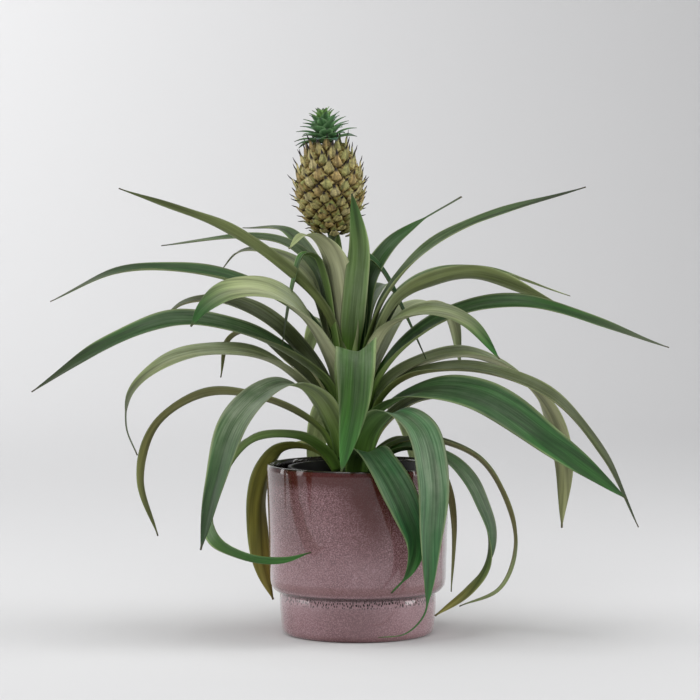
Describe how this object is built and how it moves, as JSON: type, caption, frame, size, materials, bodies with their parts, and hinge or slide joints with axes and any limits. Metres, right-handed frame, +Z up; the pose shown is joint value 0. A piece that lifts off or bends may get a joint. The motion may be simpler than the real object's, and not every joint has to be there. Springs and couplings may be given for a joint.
{
  "type": "potted pineapple plant",
  "caption": "Small ornamental pineapple plant with arching leaves and a crowned fruit on its stalk, in a glazed round stoneware pot.",
  "frame": {"origin": "centre of the pot's flat foot, on the floor", "axes": "+Z up along the pot's axis, -Y to the front as the picture shows it, +X to the right and along the widest spread of the leaves"},
  "size_m": [0.5064, 0.2868, 0.4213],
  "materials": {
    "glazed_stoneware": "opaque speckled mauve gloss glaze over stoneware",
    "black_plastic": "thin black moulded polypropylene, satin",
    "potting_soil": "loose dark peat and bark, dull",
    "plant_stem": "living stem and stalk, matte green",
    "leaf": "living leaf, satin green with a scurfy grey bloom",
    "fruit_skin": "scaly olive and tan fruit skin, dull",
    "crown_leaf": "living small leaves, satin blue-green"
  },
  "bodies": {
    "root": {"pot": "glazed_stoneware", "grow_pot": "black_plastic", "soil": "potting_soil", "stem": "plant_stem", "fruit": "fruit_skin", "crown": "crown_leaf", "leaf_01": "leaf", "leaf_02": "leaf", "leaf_03": "leaf", "leaf_04": "leaf", "leaf_05": "leaf", "leaf_06": "leaf", "leaf_07": "leaf", "leaf_08": "leaf", "leaf_09": "leaf", "leaf_10": "leaf", "leaf_11": "leaf", "leaf_12": "leaf", "leaf_13": "leaf", "leaf_14": "leaf", "leaf_15": "leaf", "leaf_16": "leaf", "leaf_17": "leaf", "leaf_18": "leaf", "leaf_19": "leaf", "leaf_20": "leaf", "leaf_21": "leaf", "leaf_22": "leaf", "leaf_23": "leaf", "leaf_24": "leaf", "leaf_25": "leaf", "leaf_26": "leaf", "leaf_27": "leaf", "leaf_28": "leaf", "leaf_29": "leaf", "leaf_30": "leaf", "leaf_31": "leaf", "leaf_32": "leaf", "leaf_33": "leaf", "leaf_34": "leaf", "leaf_35": "leaf", "leaf_36": "leaf", "leaf_37": "leaf", "leaf_38": "leaf", "leaf_39": "leaf", "leaf_40": "leaf", "leaf_41": "leaf", "leaf_42": "leaf", "leaf_43": "leaf"}
  },
  "joints": []
}
